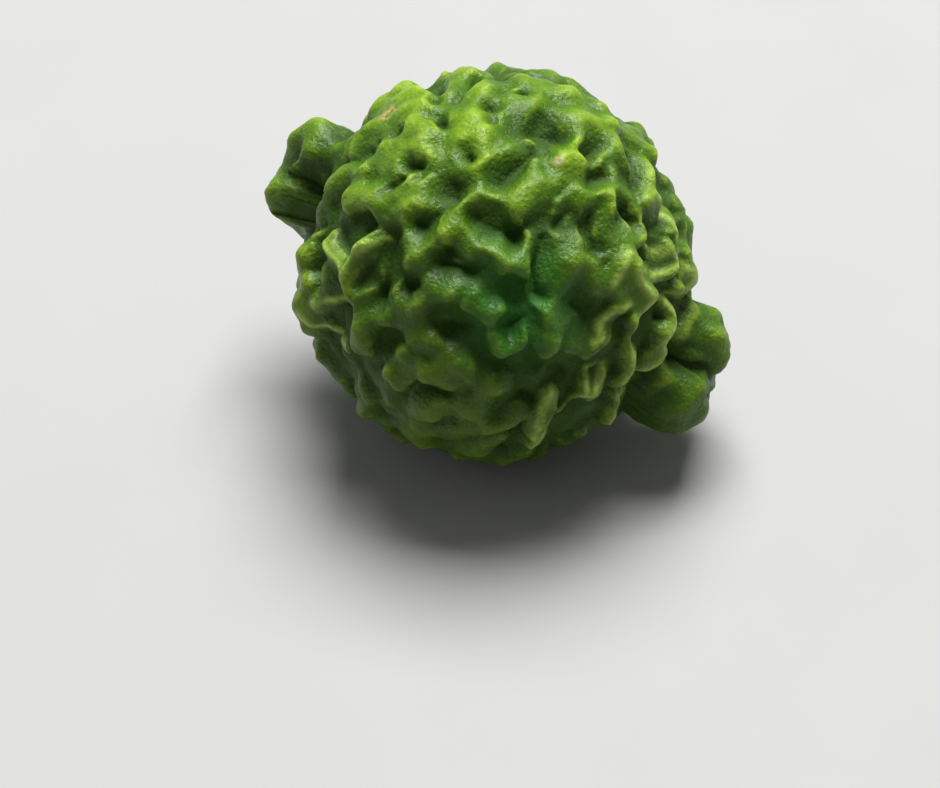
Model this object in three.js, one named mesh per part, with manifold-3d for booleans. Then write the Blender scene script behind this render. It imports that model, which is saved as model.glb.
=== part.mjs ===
// A makrut lime: a warty citrus fruit as picked, lying on its side.
// It is a ball of rind with a lobed neck at the stem end, a creased nipple at the blossom end and
// worm-shaped warts all over, and it keeps the dry stem button that the picker leaves in the neck.
// Units are millimetres, +Z is up, and the flat spot that it rests on lies at z = 0 under its middle.

import * as THREE from "three";
import { mergeVertices } from "three/addons/utils/BufferGeometryUtils.js";
import Module from "manifold-3d";

const wasm = await Module();
wasm.setup();

// The fruit's own sizes.
const BALL_RADIUS = 28.9; // the floor of the furrows, between the warts
const CENTRE_HEIGHT = 30.4; // from the surface it rests on to the ball's middle
const BLEND = 0.42; // how softly one wart runs into the next
const LOBE_BLEND = 1.3; // how softly the ends' lobes run into the ball
const WRINKLE = 0.16; // height of the small wrinkles on the warts
const WRINKLE_LENGTH = 3.4;
const WARP = 0.42; // how far the warts' edges wander
const WARP_LENGTH = 6.5;
const FURROW_TOP = 2.1; // over its floor, where a furrow's half-width is measured
const SPHERE_DETAIL = 22; // each side of an icosahedron is cut into one more piece than this
const OUTSIDE = 43; // a radius that nothing reaches
const REACH = 9; // a bump further than this from a place has no effect there
const REACH_HEIGHT = 4; // over the ball, where that is measured
const WELD = 1e-4; // corners nearer than this are one corner
const WALK_STEPS = 60; // steps inwards to the rind
const WALK_SHARE = 0.9; // each step goes this much of the way that is known to be clear

// How the fruit is seen: places in sight are pixels of the photograph, in its 940 x 788 frame.
const VIEW_AZIMUTH = THREE.MathUtils.degToRad(25);
const VIEW_ELEVATION = THREE.MathUtils.degToRad(40);
const EYE_DISTANCE = 560;
const PIXELS_PER_MM = 6.35;
const MIDDLE_PIXEL = [495, 262];

const RIGHT = new THREE.Vector3(Math.cos(VIEW_AZIMUTH), Math.sin(VIEW_AZIMUTH), 0);
const BACK = new THREE.Vector3(
  Math.sin(VIEW_AZIMUTH) * Math.cos(VIEW_ELEVATION),
  -Math.cos(VIEW_AZIMUTH) * Math.cos(VIEW_ELEVATION),
  Math.sin(VIEW_ELEVATION),
);
const UP = new THREE.Vector3().crossVectors(BACK, RIGHT);

// The warts in sight, each a crest line: [half-width mm, height mm, [pixel x, y], ...].
const WARTS = [
  // upper left shoulder
  [3.4, 2.8, [374, 103], [384, 94], [398, 87]],
  [3.6, 2.55, [373, 119], [379, 110], [389, 100], [403, 94], [418, 92]],
  [3.1, 2.05, [398, 112], [415, 108], [430, 110]],
  [3.1, 2.25, [356, 136], [368, 129], [384, 128]],
  [3.0, 2.45, [404, 122], [413, 130], [420, 139]],
  [2.5, 2.05, [430, 127], [432, 137]],
  [3.1, 2.65, [386, 150], [400, 150], [414, 155], [430, 153], [448, 150], [462, 147]],
  [2.5, 1.95, [440, 165], [453, 168]],
  [2.8, 2.15, [366, 168], [378, 167]],
  [2.8, 2.25, [398, 160], [398, 176]],
  // crown
  [3.4, 2.65, [440, 84], [452, 74], [466, 70]],
  [2.9, 2.45, [480, 73], [470, 83], [457, 90], [449, 103]],
  [2.6, 2.25, [452, 108], [455, 122], [452, 137]],
  [3.1, 2.45, [485, 80], [484, 95], [472, 108], [467, 122], [470, 136]],
  [3.1, 2.45, [484, 137], [498, 132], [512, 127]],
  [2.8, 2.25, [504, 104], [509, 116]],
  [3.1, 1.5, [492, 80], [508, 78], [516, 76]],
  [3.1, 2.5, [524, 76], [538, 77], [552, 84]],
  [3.1, 2.65, [503, 100], [515, 93], [530, 90], [546, 88], [560, 89]],
  [2.9, 2.0, [562, 91], [573, 98], [584, 108]],
  [2.9, 2.35, [534, 100], [540, 108], [530, 115], [518, 117]],
  [2.9, 2.45, [546, 103], [556, 108], [552, 118], [540, 124]],
  // upper right
  [2.9, 2.45, [563, 118], [578, 114], [592, 116], [608, 119], [624, 121]],
  [2.9, 1.9, [577, 90], [592, 99], [608, 111], [622, 120]],
  [2.9, 2.45, [592, 122], [602, 130], [612, 140]],
  [2.5, 2.25, [592, 136], [594, 149]],
  [2.8, 2.35, [605, 150], [600, 158]],
  [3.4, 2.65, [620, 142], [633, 152], [648, 163]],
  [3.1, 2.1, [632, 129], [644, 137], [649, 147]],
  [2.9, 2.25, [580, 166], [595, 164], [608, 168]],
  [3.4, 2.85, [572, 130], [566, 145], [556, 160], [546, 172], [536, 185], [520, 195], [504, 198]],
  [3.1, 2.45, [496, 151], [510, 148], [526, 146]],
  [2.6, 2.15, [482, 166], [490, 160]],
  // middle
  [2.8, 2.8, [410, 203], [422, 192], [434, 183]],
  [2.4, 2.5, [474, 180], [480, 190], [483, 200]],
  [2.9, 2.8, [345, 192], [362, 196], [378, 197], [388, 208], [396, 220], [402, 232]],
  [2.8, 3.0, [458, 213], [448, 226], [462, 234], [478, 243], [490, 251]],
  [2.4, 2.5, [492, 216], [508, 213]],
  [2.8, 2.8, [573, 207], [582, 196], [600, 191], [618, 191], [633, 198], [641, 212], [638, 228]],
  [2.2, 2.3, [604, 212], [607, 226], [603, 242]],
  [2.5, 2.6, [570, 228], [572, 240], [573, 254]],
  [2.5, 2.6, [613, 246], [624, 241], [629, 251], [626, 263]],
  [2.6, 2.6, [504, 262], [516, 262], [530, 257]],
  [2.3, 2.4, [514, 250], [528, 240]],
  [2.6, 2.6, [543, 288], [552, 277], [565, 278]],
  [2.5, 2.6, [574, 262], [586, 266], [596, 280], [600, 296], [592, 310]],
  [2.6, 2.6, [548, 305], [556, 318], [560, 332], [552, 345]],
  [2.8, 2.8, [409, 264], [413, 250], [424, 243]],
  [2.8, 2.8, [402, 300], [420, 297], [438, 292], [452, 281]],
  [2.4, 2.4, [470, 300], [482, 309], [494, 314]],
  [2.4, 2.4, [500, 345], [510, 342]],
  // left side
  [1.9, 3.0, [376, 240], [358, 249], [348, 263], [341, 281], [339, 295], [325, 303], [309, 305]],
  [1.7, 2.9, [306, 312], [311, 326], [323, 339], [336, 349]],
  [1.8, 2.5, [324, 243], [330, 256], [338, 268]],
  [2.2, 2.2, [322, 272], [323, 290]],
  [2.8, 3.3, [298, 256], [296, 270], [300, 284]],
  [3.0, 4.0, [296, 304], [296, 320], [300, 332]],
  [3.0, 3.4, [301, 336], [309, 351]],
  [2.9, 2.6, [316, 362], [327, 377]],
  [2.6, 2.6, [372, 312], [388, 310], [400, 304]],
  [2.6, 2.6, [358, 306], [357, 325], [356, 345]],
  // right side
  [1.8, 2.7, [655, 196], [667, 200], [675, 211], [680, 225], [684, 240]],
  [2.0, 2.5, [652, 170], [652, 186], [650, 200]],
  [2.4, 1.3, [664, 176], [672, 188]],
  [2.4, 2.2, [680, 200], [685, 212]],
  [2.2, 2.4, [662, 222], [672, 222]],
  [1.9, 2.6, [660, 252], [673, 250], [680, 260], [668, 271], [656, 272]],
  [2.4, 2.5, [687, 230], [688, 244]],
  [2.6, 2.8, [690, 262], [694, 274]],
  [1.6, 3.0, [685, 254], [693, 276], [692, 285], [683, 293], [674, 303], [675, 320], [667, 333]],
  [1.6, 2.8, [698, 298], [693, 312], [689, 325], [680, 336]],
  [1.7, 2.7, [664, 337], [661, 351], [654, 365], [646, 375]],
  [1.9, 2.8, [664, 368], [666, 381], [657, 391], [643, 394], [632, 402]],
  [2.2, 2.6, [622, 290], [632, 283], [645, 290]],
  [1.6, 3.1, [630, 254], [625, 269], [617, 283]],
  [1.6, 3.1, [637, 270], [648, 285], [652, 298], [649, 310], [642, 322]],
  [1.6, 3.1, [641, 326], [638, 342], [634, 361], [625, 382]],
  [1.6, 2.9, [634, 305], [618, 315], [609, 327], [607, 341], [600, 347]],
  [2.1, 2.3, [578, 345], [592, 350]],
  // underside in sight
  [1.7, 2.6, [596, 373], [588, 388], [583, 398]],
  [1.7, 3.3, [612, 379], [600, 392], [590, 402], [578, 408], [566, 420], [546, 438], [532, 447]],
  [1.6, 2.9, [552, 398], [542, 418], [534, 438]],
  [1.6, 2.6, [620, 400], [616, 414], [610, 421]],
  [2.0, 1.9, [602, 426], [586, 434], [566, 444]],
];

// The wide, low warts just past the horizon: their pixels are where the sight line comes out again.
const HORIZON_WARTS = [
  [3.8, 2.5, [384, 120], [400, 104], [418, 96]],
  [3.8, 2.7, [440, 84], [458, 77], [470, 76]],
  [3.4, 1.9, [492, 66], [508, 65], [524, 66], [540, 69], [556, 74]],
  [3.4, 1.6, [572, 80], [588, 88], [602, 97]],
  [3.6, 1.2, [604, 116], [628, 136]],
  [3.4, 1.4, [648, 160], [662, 182], [674, 206]],
];

// The deep furrows and pits in sight: [half-width mm, floor in mm over the plain body, [pixel x, y], ...].
const FURROWS = [
  // upper left shoulder
  [1.6, 0.1, [443, 130]],
  [1.6, -0.1, [405, 139], [398, 141]],
  [1.5, 0.1, [378, 147]],
  [1.6, -0.1, [420, 171], [412, 172]],
  [1.5, -0.1, [395, 194], [404, 186]],
  [1.4, 0.1, [440, 90], [441, 101]],
  [1.3, 0.1, [370, 119], [358, 124]],
  // crown
  [1.7, -0.3, [457, 74]],
  [1.6, -0.2, [502, 86]],
  [1.4, 0.0, [474, 91], [457, 109]],
  [1.6, -0.3, [488, 118]],
  [1.6, -0.3, [522, 104]],
  [2.5, -1.3, [522, 138], [536, 138], [549, 142]],
  [1.9, -0.5, [530, 157], [516, 170], [501, 184]],
  [1.7, -0.3, [472, 163]],
  [2.3, -1.0, [456, 194], [452, 203]],
  // upper right
  [1.6, -0.3, [585, 150], [583, 158]],
  [1.7, -0.3, [620, 162], [626, 175], [628, 187]],
  [1.6, -0.2, [605, 105]],
  [1.5, -0.1, [646, 145]],
  [1.7, -0.3, [600, 180], [585, 181]],
  // middle
  [2.0, -0.5, [425, 228]],
  [1.9, -0.5, [368, 232], [376, 226]],
  [2.1, -0.8, [398, 240], [391, 262], [388, 285], [385, 300]],
  [1.9, -0.5, [420, 283], [411, 287]],
  [1.9, -0.6, [480, 219], [495, 229], [511, 240]],
  [1.9, -0.5, [565, 214], [556, 226]],
  [2.0, -0.8, [541, 236], [538, 262], [534, 290]],
  [2.5, -1.4, [569, 300], [578, 307], [582, 318]],
  [1.7, -0.3, [587, 215], [588, 232], [591, 250]],
  [1.7, -0.3, [618, 212], [624, 225]],
  [2.0, -0.6, [650, 200], [652, 218], [642, 236], [646, 262]],
  [1.9, -0.5, [510, 325], [522, 316]],
  [2.0, -0.5, [478, 272], [462, 268], [445, 266]],
  [2.0, -0.8, [470, 325], [455, 322], [440, 318]],
  // left side
  [2.1, -1.0, [352, 300], [347, 322], [345, 346]],
  [1.9, -0.8, [303, 316], [306, 326]],
  [1.7, -0.5, [330, 228], [316, 238]],
  [1.7, -0.5, [312, 262], [311, 284]],
  // right side
  [1.7, -0.3, [668, 238], [668, 229]],
  [1.7, -0.4, [657, 291], [664, 300], [664, 316]],
  [1.7, -0.3, [634, 314], [628, 330]],
  [1.5, -0.2, [668, 262]],
  [1.7, -0.3, [662, 330], [668, 345]],
  [1.6, -0.3, [674, 300], [683, 318]],
  // underside in sight
  [1.9, -0.5, [600, 364], [583, 364]],
  [1.9, -0.5, [560, 371], [548, 366]],
  [1.9, -0.8, [530, 396], [520, 388]],
  [1.9, -0.5, [566, 396], [556, 410]],
  [1.7, -0.3, [630, 388]],
  [1.7, -0.3, [604, 408], [592, 416]],
];

// The creases that part the lobes of the two ends, and the hollow under the neck:
// [half-width mm, floor in mm over the plain body, [pixel x, y, mm towards the eye], ...].
const CREASES = [
  [1.7, -1.3, [296, 184, 1], [312, 176, -2], [330, 168, 2]],
  [4.4, -1.6, [330, 190, 4], [322, 206, 3], [313, 226, 1]],
  [1.8, -1.6, [670, 354, 4], [688, 359, 3], [704, 368, 2], [716, 371, -1], [720, 368, -5]],
  [1.3, -1.0, [692, 388, 3], [706, 391, 1], [712, 392, -4]],
  [2.4, -1.2, [640, 392, 12], [655, 404, 8], [648, 424, 2]],
];

// The lobes at the two ends: [radius mm, [pixel x, y], mm from the ball's middle plane towards the eye].
const STEM_END_LOBES = [
  [5.0, [323, 152], 0],
  [3.7, [304, 170], -4],
  [4.0, [293, 197], -3],
  [5.0, [322, 160], -13],
  [6.2, [326, 178], -10],
  [5.0, [303, 198], -14],
  [4.2, [314, 214], -10],
];
const BLOSSOM_END_LOBES = [
  [5.2, [690, 333], 1],
  [3.4, [704, 340], 0],
  [3.0, [698, 366], 0],
  [2.8, [689, 388], 1],
  [4.4, [676, 396], 1],
  [5.6, [658, 392], 1],
  [5.2, [686, 344], -8],
  [4.4, [680, 370], -9],
  [5.0, [666, 386], -8],
  [7.4, [668, 360], -4],
];

// The warts out of sight are drawn from this seed, on a lattice all round the ball.
const SEED = 20260;
const LATTICE_POINTS = 250;
const CLEAR_OF_WARTS = 5.6; // a drawn wart keeps this far from the ones in sight
const DRAWN_HALF_WIDTH = [2.4, 3.1];
const DRAWN_HEIGHT = [2.1, 2.9];
const DRAWN_LENGTH = [2, 8];
const DRAWN_BEND = [-0.9, 0.9]; // between a drawn wart's two halves, in radians
const LATTICE_JITTER = 0.05; // as a share of the ball's radius
const WARP_WAVES = 4;
const WRINKLE_WAVES = 9;
const WAVE_SPREAD = [0.75, 1.4]; // the waves' lengths, as shares of the middle one

// Where the socket is on the neck's end: its pixel, and mm from the ball's middle plane towards the eye.
const SOCKET_PIXEL = [311, 182];
const SOCKET_TOWARDS_EYE = -16;

// The warts that it rests on, one under the ball's middle and more around it.
const SEAT = [3.4, 2.6]; // half-width and height
const SEATS_AROUND = 3;
const SEAT_SPREAD = 5.2; // from the middle one to the others

// The socket in the neck's end, and the stem button in it.
const SOCKET_RADIUS = 2.9;
const SOCKET_DEPTH = 1.3;
const SOCKET_AWAY = 0.7; // how much it faces away from the eye
const BUTTON_RADIUS = 2.4;
const BUTTON_THICKNESS = 0.9;
const STUMP_RADIUS = 1.25;
const SEPALS = 5;
const BUTTON_GAP = 0.3; // under the button, so that it doesn't touch the rind
const PLUG_LENGTH = 3.9; // of the tapered plug that cuts the socket
const PLUG_FLARE = 1.15; // how much wider the plug is at its far end
const PLUG_SIDES = 28;
const SEPAL_NOTCH = 0.12; // how far the edge draws in on either side of its middle line
const EDGE_STEPS = 40; // round the calyx
const STUMP_SIDES = 20;
// The stump's profile, from the calyx up: [share of its radius, mm over the calyx's underside].
const STUMP_PROFILE = [
  [1.35, 0.45],
  [1.25, 1.1],
  [1.0, 1.35],
  [1.05, 1.7],
  [0.7, 1.85],
];
const STUMP_TOP = 1.7; // in its middle, where it is broken off hollow

let state = SEED;
function draw(low = 0, high = 1) {
  state = (Math.imul(state, 1664525) + 1013904223) >>> 0;
  return low + ((high - low) * state) / 4294967296;
}

// A point given by its pixel and its distance towards the eye, from the ball's middle.
function pointAt([x, y], towardsEye) {
  const scale = 1 - towardsEye / EYE_DISTANCE;
  return new THREE.Vector3()
    .addScaledVector(RIGHT, (scale * (x - MIDDLE_PIXEL[0])) / PIXELS_PER_MM)
    .addScaledVector(UP, (scale * (MIDDLE_PIXEL[1] - y)) / PIXELS_PER_MM)
    .addScaledVector(BACK, towardsEye);
}

// Where the sight line through a pixel enters the ball of this radius (side -1), or leaves it (side 1).
// A line that misses the ball gives the place that it passes most closely.
function seenOnBall(pixel, radius, side = -1) {
  const eye = BACK.clone().multiplyScalar(EYE_DISTANCE);
  const sight = pointAt(pixel, 0).sub(eye).normalize();
  const middle = -eye.dot(sight);
  const inside = middle * middle - eye.lengthSq() + radius * radius;
  const reach = middle + side * Math.sqrt(Math.max(0, inside));
  return eye.addScaledVector(sight, reach).setLength(radius);
}

// A wart is a round-ended worm: its crest line sunk so that its back stands this high over the ball.
function wart(halfWidth, height, crest) {
  const depth = BALL_RADIUS + height - halfWidth;
  return { radius: halfWidth, line: crest.map((p) => p.clone().setLength(depth)) };
}

function wartsAt(places, side) {
  return places.map(([halfWidth, height, ...pixels]) =>
    wart(halfWidth, height, pixels.map((p) => seenOnBall(p, BALL_RADIUS + height, side))),
  );
}

// A furrow is a V-shaped cut along a line, open at the top and closed at its floor.
function furrow(halfWidth, floor, places) {
  return {
    floor,
    slope: halfWidth / FURROW_TOP,
    line: places.map((p) => p.setLength(BALL_RADIUS)),
  };
}

function furrows() {
  const onBall = FURROWS.map(([halfWidth, floor, ...pixels]) =>
    furrow(halfWidth, floor, pixels.map((p) => seenOnBall(p, BALL_RADIUS + floor))),
  );
  const onLobes = CREASES.map(([halfWidth, floor, ...places]) =>
    furrow(halfWidth, floor, places.map(([x, y, towardsEye]) => pointAt([x, y], towardsEye))),
  );
  return [...onBall, ...onLobes];
}

function lobes() {
  return [...STEM_END_LOBES, ...BLOSSOM_END_LOBES].map(([radius, pixel, towardsEye]) => ({
    radius,
    line: [pointAt(pixel, towardsEye)],
    isLobe: true,
  }));
}

function seats() {
  const under = new THREE.Vector3(0, 0, -BALL_RADIUS);
  const around = Array.from({ length: SEATS_AROUND }, (_, i) => {
    const turn = (2 * Math.PI * i) / SEATS_AROUND;
    return under.clone().add(new THREE.Vector3(Math.cos(turn), Math.sin(turn), 0).multiplyScalar(SEAT_SPREAD));
  });
  return [under, ...around].map((place) => wart(...SEAT, [place]));
}

function distanceToLine(p, line) {
  if (line.length === 1) return p.distanceTo(line[0]);
  let nearest = Infinity;
  for (let i = 1; i < line.length; i++) {
    const [a, b] = [line[i - 1], line[i]];
    const [x, y, z] = [b.x - a.x, b.y - a.y, b.z - a.z];
    const [u, v, w] = [p.x - a.x, p.y - a.y, p.z - a.z];
    const t = Math.min(1, Math.max(0, (x * u + y * v + z * w) / (x * x + y * y + z * z)));
    nearest = Math.min(nearest, Math.hypot(u - t * x, v - t * y, w - t * z));
  }
  return nearest;
}

// Drawn warts fill the rind wherever the ones in sight leave it bare.
function drawnWarts(placed) {
  const made = [];
  const goldenAngle = Math.PI * (3 - Math.sqrt(5));
  for (let i = 0; i < LATTICE_POINTS; i++) {
    const height = 1 - (2 * (i + 0.5)) / LATTICE_POINTS;
    const around = i * goldenAngle;
    const across = Math.sqrt(1 - height * height);
    const middle = new THREE.Vector3(across * Math.cos(around), across * Math.sin(around), height);
    const jitter = new THREE.Vector3(draw(-1, 1), draw(-1, 1), draw(-1, 1));
    middle.addScaledVector(jitter, LATTICE_JITTER).setLength(BALL_RADIUS);
    const turn = draw(0, Math.PI);
    const bend = draw(...DRAWN_BEND);
    const half = draw(...DRAWN_LENGTH) / 2;
    const halfWidth = draw(...DRAWN_HALF_WIDTH);
    const tall = draw(...DRAWN_HEIGHT);
    if (placed.some((w) => distanceToLine(middle, w.line) < CLEAR_OF_WARTS)) continue;
    const east = new THREE.Vector3(0, 0, 1).cross(middle).normalize();
    const north = middle.clone().cross(east).normalize();
    const along = (angle, length) =>
      middle
        .clone()
        .addScaledVector(east, length * Math.cos(angle))
        .addScaledVector(north, length * Math.sin(angle));
    made.push(wart(halfWidth, tall, [along(turn, half), middle, along(turn + Math.PI + bend, half)]));
  }
  return made;
}

// Smooth seeded waves in three directions at once, each from -1 to 1 or so.
function waves(count, wavelength) {
  return Array.from({ length: count }, () => ({
    direction: new THREE.Vector3(draw(-1, 1), draw(-1, 1), draw(-1, 1))
      .normalize()
      .multiplyScalar((2 * Math.PI) / (wavelength * draw(...WAVE_SPREAD))),
    phase: draw(0, 2 * Math.PI),
  }));
}

const waveSum = (set, p) =>
  set.reduce((sum, w) => sum + Math.sin(w.direction.dot(p) + w.phase), 0) / Math.sqrt(set.length);

const seen = [...wartsAt(WARTS, -1), ...wartsAt(HORIZON_WARTS, 1)];
const swellings = [...seen, ...lobes(), ...seats()];
const bumps = [...swellings, ...drawnWarts(swellings)];
const warpWaves = [0, 1, 2].map(() => waves(WARP_WAVES, WARP_LENGTH));
const wrinkleWaves = waves(WRINKLE_WAVES, WRINKLE_LENGTH);
const cuts = furrows();

// How far a point is outside the rind, with these bumps softly joined and these cuts taken away.
function outside(p, near, nearCuts) {
  const shift = warpWaves.map((set) => WARP * waveSum(set, p));
  const q = new THREE.Vector3(p.x + shift[0], p.y + shift[1], p.z + shift[2]);
  const reach = q.length();
  let body = Math.exp((BALL_RADIUS - reach) / LOBE_BLEND);
  let sum = 0;
  for (const b of near) {
    const inside = b.radius - distanceToLine(q, b.line);
    if (b.isLobe) body += Math.exp(inside / LOBE_BLEND);
    else sum += Math.exp(inside / BLEND);
  }
  const overBody = -LOBE_BLEND * Math.log(body);
  sum += Math.exp(-overBody / BLEND);
  let kept = 1 / sum;
  const onBall = q.setLength(BALL_RADIUS);
  for (const c of nearCuts) {
    kept += Math.exp(((overBody - c.floor) * c.slope - distanceToLine(onBall, c.line)) / BLEND);
  }
  return BLEND * Math.log(kept) + WRINKLE * waveSum(wrinkleWaves, p);
}

// The rind's place along a ray from the ball's middle, found by walking in from outside.
function rindAlong(direction) {
  const place = direction.clone().multiplyScalar(BALL_RADIUS + REACH_HEIGHT);
  const near = bumps.filter((b) => distanceToLine(place, b.line) < b.radius + REACH);
  const nearCuts = cuts.filter((c) => distanceToLine(place, c.line) < REACH);
  let radius = OUTSIDE;
  for (let i = 0; i < WALK_STEPS; i++) {
    radius -= WALK_SHARE * outside(direction.clone().multiplyScalar(radius), near, nearCuts);
  }
  return direction.clone().multiplyScalar(radius);
}

// The socket's place on the neck's end, and the way that it faces.
const socketPlace = rindAlong(pointAt(SOCKET_PIXEL, SOCKET_TOWARDS_EYE).normalize());
const socketFacing = socketPlace.clone().normalize().addScaledVector(BACK, -SOCKET_AWAY).normalize();

// Stands a thing that was made upright at the origin in the socket, this far over its floor.
function placeInSocket(object, overFloor) {
  object.quaternion.setFromUnitVectors(new THREE.Vector3(0, 0, 1), socketFacing);
  object.position.copy(socketPlace).addScaledVector(socketFacing, overFloor - SOCKET_DEPTH);
  object.position.z += CENTRE_HEIGHT;
}

// A plug as wide as the socket, from its floor to well outside the rind.
function socketCutter() {
  const farRadius = SOCKET_RADIUS * PLUG_FLARE;
  const plug = new THREE.CylinderGeometry(farRadius, SOCKET_RADIUS, PLUG_LENGTH, PLUG_SIDES);
  plug.rotateX(Math.PI / 2);
  plug.translate(0, 0, PLUG_LENGTH / 2);
  const placed = new THREE.Object3D();
  placeInSocket(placed, 0);
  placed.updateMatrix();
  return solid(plug.applyMatrix4(placed.matrix));
}

function fruitMesh() {
  const geometry = new THREE.IcosahedronGeometry(1, SPHERE_DETAIL);
  const places = geometry.getAttribute("position");
  for (let i = 0; i < places.count; i++) {
    const direction = new THREE.Vector3().fromBufferAttribute(places, i).normalize();
    const p = rindAlong(direction);
    places.setXYZ(i, p.x, p.y, Math.max(0, p.z + CENTRE_HEIGHT));
  }
  const body = solid(geometry).subtract(socketCutter());
  const rind = new THREE.MeshStandardMaterial({ color: 0x4f7d22, roughness: 0.42, metalness: 0 });
  const mesh = new THREE.Mesh(geometryOf(body), rind);
  mesh.name = "fruit";
  return mesh;
}

// A closed mesh as a solid that can be joined or cut.
function solid(geometry) {
  geometry.deleteAttribute("normal");
  geometry.deleteAttribute("uv");
  const merged = mergeVertices(geometry, WELD);
  return new wasm.Manifold(
    new wasm.Mesh({
      numProp: 3,
      vertProperties: merged.getAttribute("position").array,
      triVerts: new Uint32Array(merged.index.array),
    }),
  );
}

function geometryOf(body) {
  const mesh = body.getMesh();
  const geometry = new THREE.BufferGeometry();
  geometry.setAttribute("position", new THREE.BufferAttribute(mesh.vertProperties, 3));
  geometry.setIndex(new THREE.BufferAttribute(mesh.triVerts, 1));
  geometry.computeVertexNormals();
  return geometry;
}

// The dry calyx, a disc with a wavy edge of sepals, with the broken stump of the stem on it.
function buttonMesh() {
  const edge = [];
  for (let i = 0; i < EDGE_STEPS; i++) {
    const around = (2 * Math.PI * i) / EDGE_STEPS;
    const radius = BUTTON_RADIUS * (1 - SEPAL_NOTCH * (1 - Math.cos(SEPALS * around)));
    edge.push(new THREE.Vector2(radius * Math.cos(around), radius * Math.sin(around)));
  }
  const calyx = new THREE.ExtrudeGeometry(new THREE.Shape(edge), {
    depth: BUTTON_THICKNESS,
    bevelEnabled: false,
    curveSegments: 1,
  });
  const side = STUMP_PROFILE.map(([share, over]) => new THREE.Vector2(share * STUMP_RADIUS, over));
  const profile = [new THREE.Vector2(0, STUMP_PROFILE[0][1]), ...side, new THREE.Vector2(0, STUMP_TOP)];
  const stump = new THREE.LatheGeometry(profile, STUMP_SIDES);
  stump.rotateX(Math.PI / 2);
  const body = solid(calyx).add(solid(stump));
  const cork = new THREE.MeshStandardMaterial({ color: 0x9c8a4e, roughness: 0.8, metalness: 0 });
  const mesh = new THREE.Mesh(geometryOf(body), cork);
  mesh.name = "stem_button";
  placeInSocket(mesh, BUTTON_GAP);
  return mesh;
}

const lime = new THREE.Group();
lime.add(fruitMesh(), buttonMesh());
export default lime;
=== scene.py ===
# A makrut lime in a plain studio: the fine surface of its rind, its stem button, and their finish.
# The rind follows the same rule as the CAD solid's, from the same named values, on a finer grid.
# The rule works in millimetres from the middle of the fruit's round body. Blender's units are metres.

import math

import bpy
import numpy as np
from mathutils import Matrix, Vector


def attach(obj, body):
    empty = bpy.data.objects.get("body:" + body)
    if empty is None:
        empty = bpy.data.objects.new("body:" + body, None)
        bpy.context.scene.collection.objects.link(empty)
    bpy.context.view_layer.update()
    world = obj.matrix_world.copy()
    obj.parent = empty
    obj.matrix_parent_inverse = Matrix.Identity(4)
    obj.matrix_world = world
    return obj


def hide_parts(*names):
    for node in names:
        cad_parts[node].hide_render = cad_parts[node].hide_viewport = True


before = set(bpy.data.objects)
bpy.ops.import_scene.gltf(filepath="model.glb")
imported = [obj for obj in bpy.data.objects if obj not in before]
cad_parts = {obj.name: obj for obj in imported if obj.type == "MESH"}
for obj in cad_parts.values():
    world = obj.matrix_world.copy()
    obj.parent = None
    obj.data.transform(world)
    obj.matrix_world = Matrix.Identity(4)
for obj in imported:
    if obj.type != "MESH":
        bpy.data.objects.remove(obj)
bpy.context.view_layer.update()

MM = 0.001

# The fruit's own sizes.
BALL_RADIUS = 28.9  # the floor of the furrows, between the warts
CENTRE_HEIGHT = 30.4  # from the surface it rests on to the ball's middle
BLEND = 0.42  # how softly one wart runs into the next
LOBE_BLEND = 1.3  # how softly the ends' lobes run into the ball
WRINKLE = 0.16  # height of the small wrinkles on the warts
WRINKLE_LENGTH = 3.4
WARP = 0.42  # how far the warts' edges wander
WARP_LENGTH = 6.5
FURROW_TOP = 2.1  # over its floor, where a furrow's half-width is measured
OUTSIDE = 43  # a radius that nothing reaches
REACH = 9  # a bump further than this from a place has no effect there
REACH_HEIGHT = 4  # over the ball, where that is measured
WALK_STEPS = 60  # steps inwards to the rind
WALK_SHARE = 0.9  # each step goes this much of the way that is known to be clear
BODY_STEPS = 30  # steps inwards to the plain body
GRID = 128  # cells along each side of the six-sided grid that covers the rind

# How the fruit is seen: places in sight are pixels of the photograph, in its 940 x 788 frame.
IMAGE_WIDTH, IMAGE_HEIGHT = 940, 788
VIEW_AZIMUTH = math.radians(25)
VIEW_ELEVATION = math.radians(40)
EYE_DISTANCE = 560.0
PIXELS_PER_MM = 6.35
MIDDLE_PIXEL = (495, 262)

RIGHT = np.array([math.cos(VIEW_AZIMUTH), math.sin(VIEW_AZIMUTH), 0.0])
BACK = np.array([
    math.sin(VIEW_AZIMUTH) * math.cos(VIEW_ELEVATION),
    -math.cos(VIEW_AZIMUTH) * math.cos(VIEW_ELEVATION),
    math.sin(VIEW_ELEVATION),
])
UP = np.cross(BACK, RIGHT)

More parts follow.
